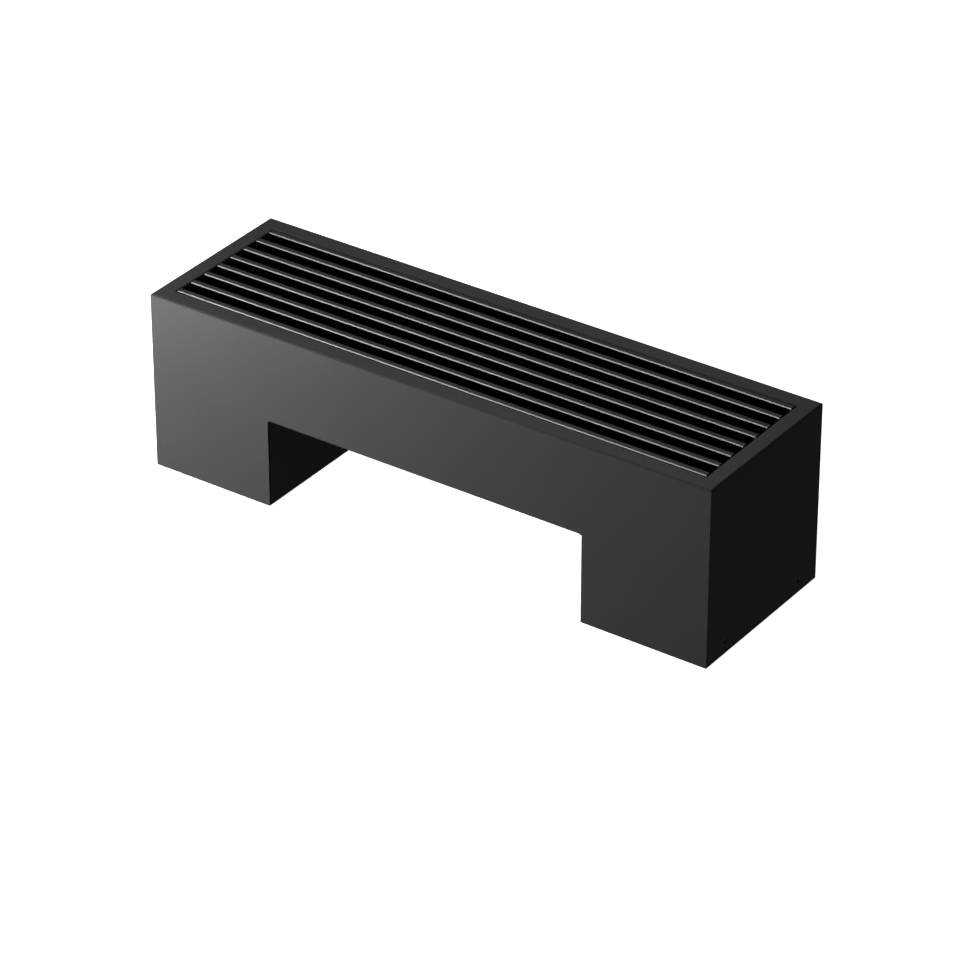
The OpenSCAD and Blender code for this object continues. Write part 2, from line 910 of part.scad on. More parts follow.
// Foot plate with a window for the pipes, holes for two levelling feet and two floor anchors
module right_foot_plate()
    color(ZINC)
    difference() {
        along_y(plate_half_w)
            folded([
                [saddle_x, pad_h + plate_t / 2],
                [lip_x - plate_t / 2, pad_h + plate_t / 2],
                [lip_x - plate_t / 2, pad_h + lip_h]], plate_t, plate_fold_r);
        box([valve_x - window_l / 2, -window_w / 2, pad_h - over],
            [valve_x + window_l / 2, window_w / 2, plate_top + over]);
        both_y() {
            translate([foot_x, foot_y, pad_h - over])
                cylinder(h = plate_t + 2 * over, r = stud_r + hole_clear);
            translate([anchor_x, anchor_gap / 2, pad_h - over])
                cylinder(h = plate_t + 2 * over, r = anchor_r);
            translate([saddle_screw_x, saddle_screw_y, pad_h - over])
                cylinder(h = plate_t + 2 * over, r = saddle_screw_r + fit);
            translate([lip_x - plate_t - over, screw_gap / 2, screw_z])
                rotate([0, 90, 0])
                    cylinder(h = plate_t + 2 * over, r = shank_r + hole_clear);
        }
    }

module left_foot_plate()
    mirror([1, 0, 0])
        right_foot_plate();

// Upright saddle bolted to the foot plate, with horns that locate the coil front and rear
module right_coil_saddle() {
    bottom = plate_top + plate_t / 2;
    horn_top = cradle_z + horn_h;
    neck = fin_w / 2 + cradle_clear;
    color(ZINC)
        difference() {
            along_y(saddle_half_w)
                folded([
                    [saddle_x + saddle_fold_w, bottom],
                    [saddle_x + plate_t / 2, bottom],
                    [saddle_x + plate_t / 2, horn_top]], plate_t, plate_fold_r);
            box([saddle_x - over, -neck, cradle_z], [saddle_x + plate_t + over, neck, horn_top + over]);
            both_y() {
                box([saddle_x - over, saddle_fold_half, bottom - plate_t],
                    [saddle_x + saddle_fold_w + over, saddle_half_w + over, plate_top + lip_h]);
                translate([saddle_screw_x, saddle_screw_y, plate_top - over])
                    cylinder(h = plate_t + 2 * over, r = saddle_screw_r + hole_clear);
                translate([saddle_x - over, saddle_hole_y, (plate_top + cradle_z) / 2])
                    rotate([0, 90, 0])
                        cylinder(h = plate_t + 2 * over, r = saddle_hole_r);
            }
        }
}

module left_coil_saddle()
    mirror([1, 0, 0])
        right_coil_saddle();

// Rubber channels pushed over the saddles' top edges, which the fins stand on
module coil_rests()
    color(RUBBER)
    both_x()
        difference() {
            box([saddle_x - rest_wall - fit, -rest_half, cradle_z - rest_grip],
                [saddle_x + plate_t + rest_wall + fit, rest_half, coil_z]);
            box([saddle_x - fit, -rest_half - over, cradle_z - rest_grip - over],
                [saddle_x + plate_t + fit, rest_half + over, cradle_z]);
        }

// Flanged hexagon screws through the saddles' folds, cut into the foot plates
module saddle_screws()
    color(ZINC)
    both_x()
        both_y()
            translate([saddle_screw_x, saddle_screw_y, 0]) {
                translate([0, 0, plate_top + plate_t]) {
                    cylinder(h = saddle_screw_flange_h, r = saddle_screw_head_r);
                    hexagon(saddle_screw_head_h, saddle_screw_hex_r);
                }
                translate([0, 0, pad_h - saddle_screw_tail])
                    cylinder(h = saddle_screw_tail + 2 * plate_t + saddle_screw_flange_h, r = saddle_screw_r);
            }

module levelling_nuts()
    color(ZINC)
    both_x()
        both_y()
            translate([foot_x, foot_y, plate_top])
                difference() {
                    hexagon(nut_h, nut_r);
                    translate([0, 0, -over])
                        cylinder(h = nut_h + 2 * over, r = stud_r + fit);
                }

// Pad and threaded stud in one, turned by the slot in the stud's top
module levelling_foot(sx, sy)
    color(BLACK)
    translate([sx * foot_x, sy * foot_y, 0])
        difference() {
            rotate_extrude()
                polygon([
                    [0, 0],
                    [pad_r, 0],
                    [pad_r, pad_h - pad_bevel],
                    [pad_r - pad_bevel, pad_h],
                    [stud_r, pad_h],
                    [stud_r, pad_h + stud_l - stud_bevel],
                    [stud_r - stud_bevel, pad_h + stud_l],
                    [0, pad_h + stud_l]]);
            translate([0, 0, pad_h + stud_l])
                cube([2 * stud_r + over, stud_slot_w, 2 * stud_slot_h], center = true);
        }

module front_left_foot() levelling_foot(-1, -1);
module front_right_foot() levelling_foot(1, -1);
module rear_left_foot() levelling_foot(-1, 1);
module rear_right_foot() levelling_foot(1, 1);

// Two countersunk screws with hexagon sockets, sunk just below the end panel's face
module left_end_screws()
    color(BLACK)
    at_end_screws()
        translate([0, 0, sink])
            difference() {
                union() {
                    cylinder(h = head_r - shank_r, r1 = head_r, r2 = shank_r);
                    cylinder(h = screw_l, r = shank_r);
                }
                translate([0, 0, -over])
                    cylinder(h = over + hex_key_h, r = hex_key_r, $fn = 6);
            }

module right_end_screws()
    mirror([1, 0, 0])
        left_end_screws();

// Square nuts welded inside the foot plates' lips
module end_screw_nuts()
    color(ZINC)
    both_x()
        both_y()
            translate([lip_x - plate_t - end_nut_h, screw_gap / 2, screw_z])
                rotate([0, 90, 0])
                    difference() {
                        translate([-end_nut / 2, -end_nut / 2, 0])
                            cube([end_nut, end_nut, end_nut_h]);
                        translate([0, 0, -over])
                            cylinder(h = end_nut_h + 2 * over, r = shank_r + fit);
                    }

front_panel();
rear_panel();
left_end_panel();
right_end_panel();
left_leg_inner_panel();
right_leg_inner_panel();
centre_brace();
grille_rest_strips();
for (i = [1 : slat_n])
    grille_slat(i);
grille_tie_rods();
grille_spacers();
fin_pack();
front_lower_tube();
front_upper_tube();
rear_lower_tube();
rear_upper_tube();
lower_return_bend();
upper_return_bend();
left_coil_plate();
right_coil_plate();
supply_header();
return_header();
air_vent_body();
bleed_screw();
drain_plug();
supply_union_nut();
return_union_nut();
union_washers();
supply_valve_body();
return_valve_body();
supply_bonnet();
return_bonnet();
supply_spindle();
hand_wheel();
lockshield_spindle();
lockshield_cap();
left_foot_plate();
right_foot_plate();
left_coil_saddle();
right_coil_saddle();
coil_rests();
saddle_screws();
levelling_nuts();
front_left_foot();
front_right_foot();
rear_left_foot();
rear_right_foot();
left_end_screws();
right_end_screws();
end_screw_nuts();
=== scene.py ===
import math

import bmesh
import bpy
import numpy as np
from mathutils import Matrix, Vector


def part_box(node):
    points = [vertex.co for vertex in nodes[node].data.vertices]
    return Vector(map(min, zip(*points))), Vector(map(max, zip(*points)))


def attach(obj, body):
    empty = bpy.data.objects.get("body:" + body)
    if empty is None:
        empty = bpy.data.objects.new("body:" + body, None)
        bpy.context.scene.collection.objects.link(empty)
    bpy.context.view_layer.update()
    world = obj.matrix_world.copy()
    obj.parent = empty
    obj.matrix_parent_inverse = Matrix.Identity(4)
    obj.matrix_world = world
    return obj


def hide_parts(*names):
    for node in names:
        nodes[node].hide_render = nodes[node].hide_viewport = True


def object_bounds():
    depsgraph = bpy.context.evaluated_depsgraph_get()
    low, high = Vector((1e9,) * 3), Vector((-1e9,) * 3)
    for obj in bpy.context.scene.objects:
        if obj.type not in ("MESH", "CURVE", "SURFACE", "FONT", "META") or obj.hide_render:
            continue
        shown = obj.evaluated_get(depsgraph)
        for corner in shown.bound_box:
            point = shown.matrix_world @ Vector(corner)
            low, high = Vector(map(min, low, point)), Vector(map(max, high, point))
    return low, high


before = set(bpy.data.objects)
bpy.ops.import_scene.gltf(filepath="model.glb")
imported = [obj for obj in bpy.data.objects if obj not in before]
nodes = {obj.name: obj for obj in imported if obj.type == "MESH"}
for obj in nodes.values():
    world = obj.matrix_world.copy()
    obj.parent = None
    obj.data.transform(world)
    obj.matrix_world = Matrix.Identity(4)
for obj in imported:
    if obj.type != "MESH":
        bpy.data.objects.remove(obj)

cad_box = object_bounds()


# Camera
# A long lens about four metres away to the front right, which looks down by 31 degrees. It was fitted to
# the corners of the object in the photograph.
CAMERA_AZIMUTH = math.radians(34.95)
CAMERA_ELEVATION = math.radians(31.04)
CAMERA_DISTANCE = 4.225
CAMERA_LENS = 176.1
CAMERA_SENSOR = 36.0
CAMERA_TARGET = Vector((0.0002, 0.0, 0.0429))

scene = bpy.context.scene
camera = bpy.data.objects.new("camera", bpy.data.cameras.new("camera"))
camera.data.lens = CAMERA_LENS
camera.data.sensor_width = CAMERA_SENSOR
towards_camera = Vector((
    math.sin(CAMERA_AZIMUTH) * math.cos(CAMERA_ELEVATION),
    -math.cos(CAMERA_AZIMUTH) * math.cos(CAMERA_ELEVATION),
    math.sin(CAMERA_ELEVATION)))
camera.location = CAMERA_TARGET + CAMERA_DISTANCE * towards_camera
camera.rotation_euler = towards_camera.to_track_quat("Z", "Y").to_euler()
scene.collection.objects.link(camera)
scene.camera = camera
scene.view_settings.view_transform = "Standard"


# Floor and surroundings
# A white studio floor lit so brightly that no shadow or horizon shows, with a dim grey room above it.
# The floor throws nothing back at the object, which keeps the faces turned away from the lamps dark.
FLOOR_SIZE = 40.0
ROOM_LIGHT = 0.067


def linear(code):
    """The linear RGBA of an sRGB hex colour, by the sRGB transfer curve."""
    c = np.array([int(code[i:i + 2], 16) for i in (1, 3, 5)]) / 255.0
    return (*np.where(c <= 0.04045, c / 12.92, ((c + 0.055) / 1.055) ** 2.4), 1.0)


def add(tree, kind, settings=(), links=()):
    """Adds a node. Settings hold its own properties and the fixed values or hex colours of its inputs, and
    links the outputs that feed its inputs. Inputs go by name, or by place where a name isn't unique."""
    node = tree.nodes.new(kind)
    for key, value in dict(settings).items():
        if isinstance(key, str) and hasattr(node, key):
            setattr(node, key, value)
        elif isinstance(value, str):
            node.inputs[key].default_value = linear(value)
        else:
            node.inputs[key].default_value = value
    for key, output in dict(links).items():
        tree.links.new(output, node.inputs[key])
    return node


floor_mesh = bpy.data.meshes.new("floor")
reach = FLOOR_SIZE / 2
floor_mesh.from_pydata(
    [(-reach, -reach, 0), (reach, -reach, 0), (reach, reach, 0), (-reach, reach, 0)], [], [(0, 1, 2, 3)])
floor = bpy.data.objects.new("floor", floor_mesh)
scene.collection.objects.link(floor)
floor.visible_diffuse = False
floor.visible_glossy = False
floor_paint = bpy.data.materials.new("white_studio_floor")
floor_paint.use_nodes = True
floor_shader = floor_paint.node_tree.nodes["Principled BSDF"]
floor_shader.inputs["Base Color"].default_value = linear("#f4f4f4")
floor_shader.inputs["Roughness"].default_value = 0.9
floor_shader.inputs["Emission Color"].default_value = linear("#ffffff")
floor_shader.inputs["Emission Strength"].default_value = 1.0
floor_mesh.materials.append(floor_paint)

scene.world = bpy.data.worlds.new("room")
scene.world.use_nodes = True
room = scene.world.node_tree
room.nodes.clear()
backdrop = add(room, "ShaderNodeBackground", {"Color": "#ffffff", "Strength": 1.0}).outputs[0]
ambient = add(room, "ShaderNodeBackground", {"Color": "#ffffff", "Strength": ROOM_LIGHT}).outputs[0]
to_camera = add(room, "ShaderNodeLightPath").outputs["Is Camera Ray"]
seen = add(room, "ShaderNodeMixShader", links={0: to_camera, 1: ambient, 2: backdrop}).outputs[0]
add(room, "ShaderNodeOutputWorld", links={"Surface": seen})


# Lamps
# Two small soft boxes close to the front left corner, whose light dies away along the front, and two larger
# ones further out in front; one straight over the grille; one high on the left, which the bare bevels of the
# slats mirror all along; and one low down behind, for the rear.
FRONT_CORNER = (-0.25, -0.09, 0.12)


def soft_box(name, place, aim, size, watts):
    """A square area lamp at a place, facing a point, that no camera sees."""
    lamp = bpy.data.lights.new(name, "AREA")
    lamp.size = size
    lamp.energy = watts
    box = bpy.data.objects.new(name, lamp)
    box.location = place
    box.rotation_euler = (Vector(place) - Vector(aim)).to_track_quat("Z", "Y").to_euler()
    box.visible_camera = False
    scene.collection.objects.link(box)


soft_box("corner_lamp_low", place=(-0.50, -0.42, 0.20), aim=FRONT_CORNER, size=0.12, watts=1.47)
soft_box("corner_lamp_high", place=(-0.52, -0.46, 0.34), aim=FRONT_CORNER, size=0.12, watts=3.2)
soft_box("front_left_lamp", place=(-0.80, -0.75, 0.20), aim=(-0.15, -0.09, 0.12), size=0.2, watts=6.8)
soft_box("front_lamp", place=(-0.9, -3.0, 0.30), aim=(-0.1, -0.09, 0.12), size=1.0, watts=10.4)
soft_box("over_grille_lamp", place=(0.03, 0.0, 0.80), aim=(0.0, 0.0, 0.18), size=0.4, watts=1.85)
soft_box("high_left_lamp", place=(-1.22, -1.29, 1.93), aim=(0.0, 0.0, 0.15), size=0.6, watts=16.8)
soft_box("rear_lamp", place=(-0.26, 1.7, 0.09), aim=(-0.05, 0.09, 0.1), size=0.16, watts=15.0)


# Casing
# Folded 1.2 mm steel sheet, welded and ground flush at the corners, in a matt black polyester powder coat.
# The coat is sprayed dry and baked, which leaves a fine even grain with a soft sheen.
def material(name):
    """A new material, its tree, its Principled shader and the object's own coordinates."""
    made = bpy.data.materials.new(name)
    made.use_nodes = True
    tree = made.node_tree
    return made, tree, tree.nodes["Principled BSDF"], add(tree, "ShaderNodeTexCoord").outputs["Object"]


def dress(made, *names):
    """Gives a material to CAD nodes."""
    for name in names:
        nodes[name].data.materials.clear()
        nodes[name].data.materials.append(made)


MM = 0.001
# The real grain is finer; it is drawn this coarse so that it shows
POWDER_GRAIN = 1.1 * MM
POWDER_DEPTH = 0.02 * MM
POWDER_CLOUD = 70 * MM
FLAT_FACING = 0.995
RIM_END = 16 * MM
RIM_SIDE = 17.5 * MM
RECESS_LAP = 0.15 * MM
RECESS_DROP = 3 * MM
powder, tree, shader, place = material("powder_coated_steel")
grain = add(tree, "ShaderNodeTexNoise", {"Scale": 1 / POWDER_GRAIN}, {"Vector": place}).outputs[0]
cloud = add(
    tree, "ShaderNodeTexNoise", {"Scale": 1 / POWDER_CLOUD, "Detail": 1.0}, {"Vector": place}).outputs[0]

# Painted shade: the folds, the faces that are square to no axis, get a darker colour that hides the
# highlight they catch, and a duller finish
facing = add(tree, "ShaderNodeNewGeometry").outputs["True Normal"]
unsigned = add(tree, "ShaderNodeVectorMath", {"operation": "ABSOLUTE"}, {0: facing}).outputs[0]
lean = add(tree, "ShaderNodeSeparateXYZ", links={0: unsigned}).outputs
greatest = add(tree, "ShaderNodeMath", {"operation": "MAXIMUM"}, {0: lean["X"], 1: lean["Y"]}).outputs[0]
greatest = add(tree, "ShaderNodeMath", {"operation": "MAXIMUM"}, {0: greatest, 1: lean["Z"]}).outputs[0]
painted_fold_shade = add(tree, "ShaderNodeMath", {"operation": "LESS_THAN", 1: FLAT_FACING}, {0: greatest}).outputs[0]

# Painted shade: the recess inside the rims, down to just under the ledge that the grille's strips lie
# on, is painted a dead near black with almost no specular
recess_x = cad_box[1][0] - RIM_END + RECESS_LAP
recess_y = cad_box[1][1] - RIM_SIDE + RECESS_LAP
recess_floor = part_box("grille_rest_strips")[0].z - RECESS_DROP
apart = add(tree, "ShaderNodeVectorMath", {"operation": "ABSOLUTE"}, {0: place}).outputs[0]
apart = add(tree, "ShaderNodeSeparateXYZ", links={0: apart}).outputs
in_x = add(tree, "ShaderNodeMath", {"operation": "LESS_THAN", 1: recess_x}, {0: apart["X"]}).outputs[0]
in_y = add(tree, "ShaderNodeMath", {"operation": "LESS_THAN", 1: recess_y}, {0: apart["Y"]}).outputs[0]
above = add(
    tree, "ShaderNodeMath", {"operation": "GREATER_THAN", 1: recess_floor}, {0: apart["Z"]}).outputs[0]
painted_recess_shade = add(tree, "ShaderNodeMath", {"operation": "MULTIPLY"}, {0: in_x, 1: in_y}).outputs[0]
painted_recess_shade = add(tree, "ShaderNodeMath", {"operation": "MULTIPLY"}, {0: painted_recess_shade, 1: above}).outputs[0]

# A Mix node of colours takes them at inputs 6 and 7 and gives the result at output 2
flat = add(tree, "ShaderNodeMix", {"data_type": "RGBA", 6: "#303033", 7: "#363538"}, {0: grain}).outputs[2]
# Painted shade on the folds: a darker colour there
coat = add(tree, "ShaderNodeMix", {"data_type": "RGBA", 7: "#262628"}, {0: painted_fold_shade, 6: flat}).outputs[2]
# Painted shade in the recess: near black here, and almost no specular below
coat = add(tree, "ShaderNodeMix", {"data_type": "RGBA", 7: "#0b0b0c"}, {0: painted_recess_shade, 6: coat}).outputs[2]
mirror = add(tree, "ShaderNodeMapRange", {"To Min": 0.5, "To Max": 0.05}, {"Value": painted_recess_shade}).outputs[0]
dull = add(tree, "ShaderNodeMath", {"operation": "MAXIMUM"}, {0: painted_fold_shade, 1: painted_recess_shade}).outputs[0]
rough = add(tree, "ShaderNodeMapRange", {"To Min": 0.48, "To Max": 0.54}, {"Value": cloud}).outputs[0]
rough = add(tree, "ShaderNodeMath", {"operation": "MAXIMUM"}, {0: rough, 1: dull}).outputs[0]
bump = add(tree, "ShaderNodeBump", {"Distance": POWDER_DEPTH}, {"Height": grain}).outputs[0]
tree.links.new(coat, shader.inputs["Base Color"])
tree.links.new(mirror, shader.inputs["Specular IOR Level"])
tree.links.new(rough, shader.inputs["Roughness"])
tree.links.new(bump, shader.inputs["Normal"])
shader.inputs["IOR"].default_value = 1.5
dress(powder, "front_panel", "rear_panel", "left_end_panel", "right_end_panel",
      "left_leg_inner_panel", "right_leg_inner_panel", "centre_brace")


# Grille slats
# Extruded aluminium bars, brushed along the top and satin anodised black. The sides are painted a dead,
# near black with almost no specular, as painted shade between the slats. The top bevels are milled
# afterwards, so each slat carries a bright line of bare metal along both edges.
DRAWING_LENGTH = 60 * MM
# Real brushing is finer; it is drawn this coarse so that it shows
DRAWING_WIDTH = 0.6 * MM
DRAWING_DEPTH = 0.01 * MM
BEVEL_RISE = math.cos(math.radians(45))
BEVEL_RANGE = 0.05
SIDE_RISE = 0.5

slats = sorted(name for name in nodes if name.startswith("grille_slat_"))
anodised, tree, shader, place = material("anodised_aluminium_milled_edge")
scale = (1 / DRAWING_LENGTH, 1 / DRAWING_WIDTH, 1 / DRAWING_WIDTH)
stretched = add(tree, "ShaderNodeMapping", {"Scale": scale}, {"Vector": place}).outputs[0]
drawn = add(tree, "ShaderNodeTexNoise", {"Scale": 1.0}, {"Vector": stretched}).outputs[0]
facing = add(tree, "ShaderNodeNewGeometry").outputs["True Normal"]
rise = add(tree, "ShaderNodeSeparateXYZ", links={0: facing}).outputs["Z"]
bevel = add(
    tree, "ShaderNodeMath", {"operation": "COMPARE", 1: BEVEL_RISE, 2: BEVEL_RANGE}, {0: rise}).outputs[0]
# Painted shade: the sides of the slats, the faces that rise little, are marked to be painted near black
side = add(tree, "ShaderNodeMath", {"operation": "LESS_THAN", 1: SIDE_RISE}, {0: rise}).outputs[0]
black = add(tree, "ShaderNodeMix", {"data_type": "RGBA", 6: "#2b2c2d", 7: "#323334"}, {0: drawn}).outputs[2]
# Painted shade on the slat sides: near black
black = add(tree, "ShaderNodeMix", {"data_type": "RGBA", 7: "#010101"}, {0: side, 6: black}).outputs[2]
bare = add(tree, "ShaderNodeMix", {"data_type": "RGBA", 7: "#787979"}, {0: bevel, 6: black}).outputs[2]
mirror = add(tree, "ShaderNodeMapRange", {"To Min": 0.5, "To Max": 0.01}, {"Value": side}).outputs[0]
rough = add(tree, "ShaderNodeMapRange", {"To Min": 0.40, "To Max": 0.50}, {"Value": drawn}).outputs[0]
bump = add(tree, "ShaderNodeBump", {"Distance": DRAWING_DEPTH}, {"Height": drawn}).outputs[0]
tree.links.new(bare, shader.inputs["Base Color"])
tree.links.new(bevel, shader.inputs["Metallic"])
tree.links.new(mirror, shader.inputs["Specular IOR Level"])
tree.links.new(rough, shader.inputs["Roughness"])
tree.links.new(bump, shader.inputs["Normal"])
dress(anodised, *slats)


# Tie rods and spacers
# Steel rods riveted over the outer slats, with turned bushes between the slats, all blackened in a hot
# oxide bath, which leaves a thin blue-black film that is worn a little where the bushes were gripped.
STAIN = 4 * MM
blackened, tree, shader, place = material("black_oxide_steel")
stain = add(tree, "ShaderNodeTexNoise", {"Scale": 1 / STAIN, "Detail": 4.0}, {"Vector": place}).outputs[0]
film = add(tree, "ShaderNodeMix", {"data_type": "RGBA", 6: "#101113", 7: "#24262a"}, {0: stain}).outputs[2]
rough = add(tree, "ShaderNodeMapRange", {"To Min": 0.55, "To Max": 0.40}, {"Value": stain}).outputs[0]
tree.links.new(film, shader.inputs["Base Color"])
tree.links.new(rough, shader.inputs["Roughness"])
shader.inputs["Metallic"].default_value = 0.7
dress(blackened, "grille_tie_rods", "grille_spacers")


# End screws
# Countersunk steel screws with a hexagon socket, black zinc-nickel plated. The film is smooth and a little
# glossy, so the dished head catches light round its rim while the socket stays dark.
PLATED_PATCH = 2.5 * MM
black_plated, tree, shader, place = material("black_zinc_nickel_steel")
patch = add(
    tree, "ShaderNodeTexNoise", {"Scale": 1 / PLATED_PATCH, "Detail": 3.0}, {"Vector": place}).outputs[0]
film = add(tree, "ShaderNodeMix", {"data_type": "RGBA", 6: "#3a3b3d", 7: "#56585b"}, {0: patch}).outputs[2]
rough = add(tree, "ShaderNodeMapRange", {"To Min": 0.30, "To Max": 0.42}, {"Value": patch}).outputs[0]
tree.links.new(film, shader.inputs["Base Color"])
tree.links.new(rough, shader.inputs["Roughness"])
shader.inputs["Metallic"].default_value = 0.8
dress(black_plated, "left_end_screws", "right_end_screws")


# Rubber parts
# Extruded EPDM: the strips that the grille lies on, the channels under the coil, and the union washers.
# The rubber is dull, with a fine grain and a trace of grey bloom.
BLOOM = 25 * MM
# The real grain is finer; it is drawn this coarse so that it shows
RUBBER_GRAIN = 0.9 * MM
RUBBER_DEPTH = 0.05 * MM
epdm, tree, shader, place = material("extruded_epdm_rubber")
grain = add(tree, "ShaderNodeTexNoise", {"Scale": 1 / RUBBER_GRAIN}, {"Vector": place}).outputs[0]
bloom = add(tree, "ShaderNodeTexNoise", {"Scale": 1 / BLOOM}, {"Vector": place}).outputs[0]
tone = add(tree, "ShaderNodeMix", {"data_type": "RGBA", 6: "#161616", 7: "#232424"}, {0: bloom}).outputs[2]
bump = add(tree, "ShaderNodeBump", {"Distance": RUBBER_DEPTH}, {"Height": grain}).outputs[0]
tree.links.new(tone, shader.inputs["Base Color"])
tree.links.new(bump, shader.inputs["Normal"])
shader.inputs["Roughness"].default_value = 0.78
dress(epdm, "grille_rest_strips", "coil_rests", "union_washers")


# Rest strips of the grille
# Four straight lengths of rubber, glued to the casing's ledge. Each has three soft ribs along its top, which
# the slats press on.
STRIP_WIDTH = 6 * MM
STRIP_RIBS = 3
STRIP_POINTS = 25
RIB_SHARE = 0.3
SHARP_ANGLE = math.radians(38)


def run(section, start, end):
    """Carries a section of (across, up) pairs straight from start to end. Each point is the end's place,
    plus across times the level direction square to the run, plus up times the vertical."""
    start, end = np.array(start), np.array(end)
    side = np.cross((0.0, 0.0, 1.0), end - start)
    side /= np.linalg.norm(side)
    offsets = section[:, :1] * side + section[:, 1:] * np.array((0.0, 0.0, 1.0))
    return np.stack([start + offsets, end + offsets])


def piece(name, grids, made, body, ring=False):
    """Makes grids of points (steps, section, 3) into closed shells: rings, or lengths with flat ends."""
    points, faces, first = [], [], 0
    for grid in grids:
        steps, section = grid.shape[:2]
        i, j = np.meshgrid(np.arange(steps if ring else steps - 1), np.arange(section), indexing="ij")
        here, there = first + i * section, first + (i + 1) % steps * section
        quads = np.stack([here + j, here + (j + 1) % section, there + (j + 1) % section, there + j], -1)
        faces += quads.reshape(-1, 4).tolist()
        if not ring:
            last = first + (steps - 1) * section
            faces += [list(range(first + section - 1, first - 1, -1)), list(range(last, last + section))]
        points.append(grid.reshape(-1, 3))
        first += steps * section
    mesh = bpy.data.meshes.new(name)
    mesh.from_pydata(np.concatenate(points).tolist(), [], faces)
    shells = bmesh.new()
    shells.from_mesh(mesh)
    bmesh.ops.recalc_face_normals(shells, faces=shells.faces)
    shells.to_mesh(mesh)
    shells.free()
    mesh.shade_smooth()
    mesh.set_sharp_from_angle(angle=SHARP_ANGLE)
    mesh.materials.append(made)
    made_piece = bpy.data.objects.new(name, mesh)
    scene.collection.objects.link(made_piece)
    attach(made_piece, body)
    return made_piece


low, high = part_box("grille_rest_strips")
thick = high.z - low.z
# The top dips below the full thickness by a cosine wave across the strip, which has one crest for each rib
share = np.linspace(0.0, 1.0, STRIP_POINTS)
crest = thick * (1.0 - RIB_SHARE * (0.5 - 0.5 * np.cos(2 * np.pi * STRIP_RIBS * (share - 0.5))))
strip_top = np.stack([(share - 0.5) * STRIP_WIDTH, crest], 1)
strip_section = np.concatenate([[(-STRIP_WIDTH / 2, 0.0)], strip_top, [(STRIP_WIDTH / 2, 0.0)]])
line_x, line_y = high.x - STRIP_WIDTH / 2, high.y - STRIP_WIDTH / 2
short_y = high.y - STRIP_WIDTH
strips = piece(
    "ribbed_rest_strips",
    [run(strip_section, (low.x, s * line_y, low.z), (high.x, s * line_y, low.z)) for s in (-1, 1)]
    + [run(strip_section, (s * line_x, -short_y, low.z), (s * line_x, short_y, low.z)) for s in (-1, 1)],
    epdm, "stand_and_casing")
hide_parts("grille_rest_strips")


# Rests of the coil
# Two lengths of rubber channel that carry the coil, pushed on to the upper edges of the saddles. They are
# rounded along their two top edges.
CHANNEL_ROUND = 1.2 * MM
CHANNEL_WALL = 2 * MM
CHANNEL_GRIP = 4 * MM
CORNER_POINTS = 7
low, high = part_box("coil_rests")
saddle_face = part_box("right_coil_saddle")[0].x
channel_middle = (high.x + saddle_face - CHANNEL_WALL) / 2
half_channel = high.x - channel_middle
half_slot = half_channel - CHANNEL_WALL
tall = high.z - low.z
# Each top edge is a quarter circle, whose points lie off its middle by the radius times the sine of the turn
# across and times its cosine upwards
turn = np.linspace(0.0, np.pi / 2, CORNER_POINTS)
corner = np.stack([1.0 - np.sin(turn), 1.0 - np.cos(turn)], 1) * CHANNEL_ROUND
right_side = np.stack([half_channel - corner[::-1, 0], tall - corner[::-1, 1]], 1)
channel_section = np.concatenate([
    [(half_slot, CHANNEL_GRIP), (half_slot, 0.0), (half_channel, 0.0)], right_side,
    right_side[::-1] * (-1, 1), [(-half_channel, 0.0), (-half_slot, 0.0), (-half_slot, CHANNEL_GRIP)]])
rests = piece(
    "rounded_coil_rests",
    [run(channel_section, (s * channel_middle, low.y, low.z), (s * channel_middle, high.y, low.z))
     for s in (-1, 1)],
    epdm, "stand_and_casing")
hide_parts("coil_rests")


# Fins
# Rolled aluminium foil, stamped with collars that are pressed on to the tubes. It has fine rolling lines up
# and down each fin and a faint stain of stamping oil, which dulls its shine a little.
ROLLING_LENGTH = 30 * MM
# Real rolling lines are finer; they are drawn this coarse so that they show
ROLLING_WIDTH = 0.7 * MM
ROLLING_DEPTH = 0.01 * MM
OIL_STAIN = 35 * MM
foil, tree, shader, place = material("rolled_aluminium_foil")
scale = (1 / ROLLING_LENGTH, 1 / ROLLING_WIDTH, 1 / ROLLING_LENGTH)
stretched = add(tree, "ShaderNodeMapping", {"Scale": scale}, {"Vector": place}).outputs[0]
rolled = add(tree, "ShaderNodeTexNoise", {"Scale": 1.0}, {"Vector": stretched}).outputs[0]
oil = add(tree, "ShaderNodeTexNoise", {"Scale": 1 / OIL_STAIN}, {"Vector": place}).outputs[0]
tone = add(tree, "ShaderNodeMix", {"data_type": "RGBA", 6: "#b9bcbf", 7: "#d3d5d8"}, {0: rolled}).outputs[2]
tone = add(tree, "ShaderNodeMix", {"data_type": "RGBA", 6: "#a9a69c"}, {0: oil, 7: tone}).outputs[2]
rough = add(tree, "ShaderNodeMapRange", {"To Min": 0.42, "To Max": 0.54}, {"Value": rolled}).outputs[0]
bump = add(tree, "ShaderNodeBump", {"Distance": ROLLING_DEPTH}, {"Height": rolled}).outputs[0]
tree.links.new(tone, shader.inputs["Base Color"])
tree.links.new(rough, shader.inputs["Roughness"])
tree.links.new(bump, shader.inputs["Normal"])
shader.inputs["Metallic"].default_value = 0.85
dress(foil, "fin_pack")


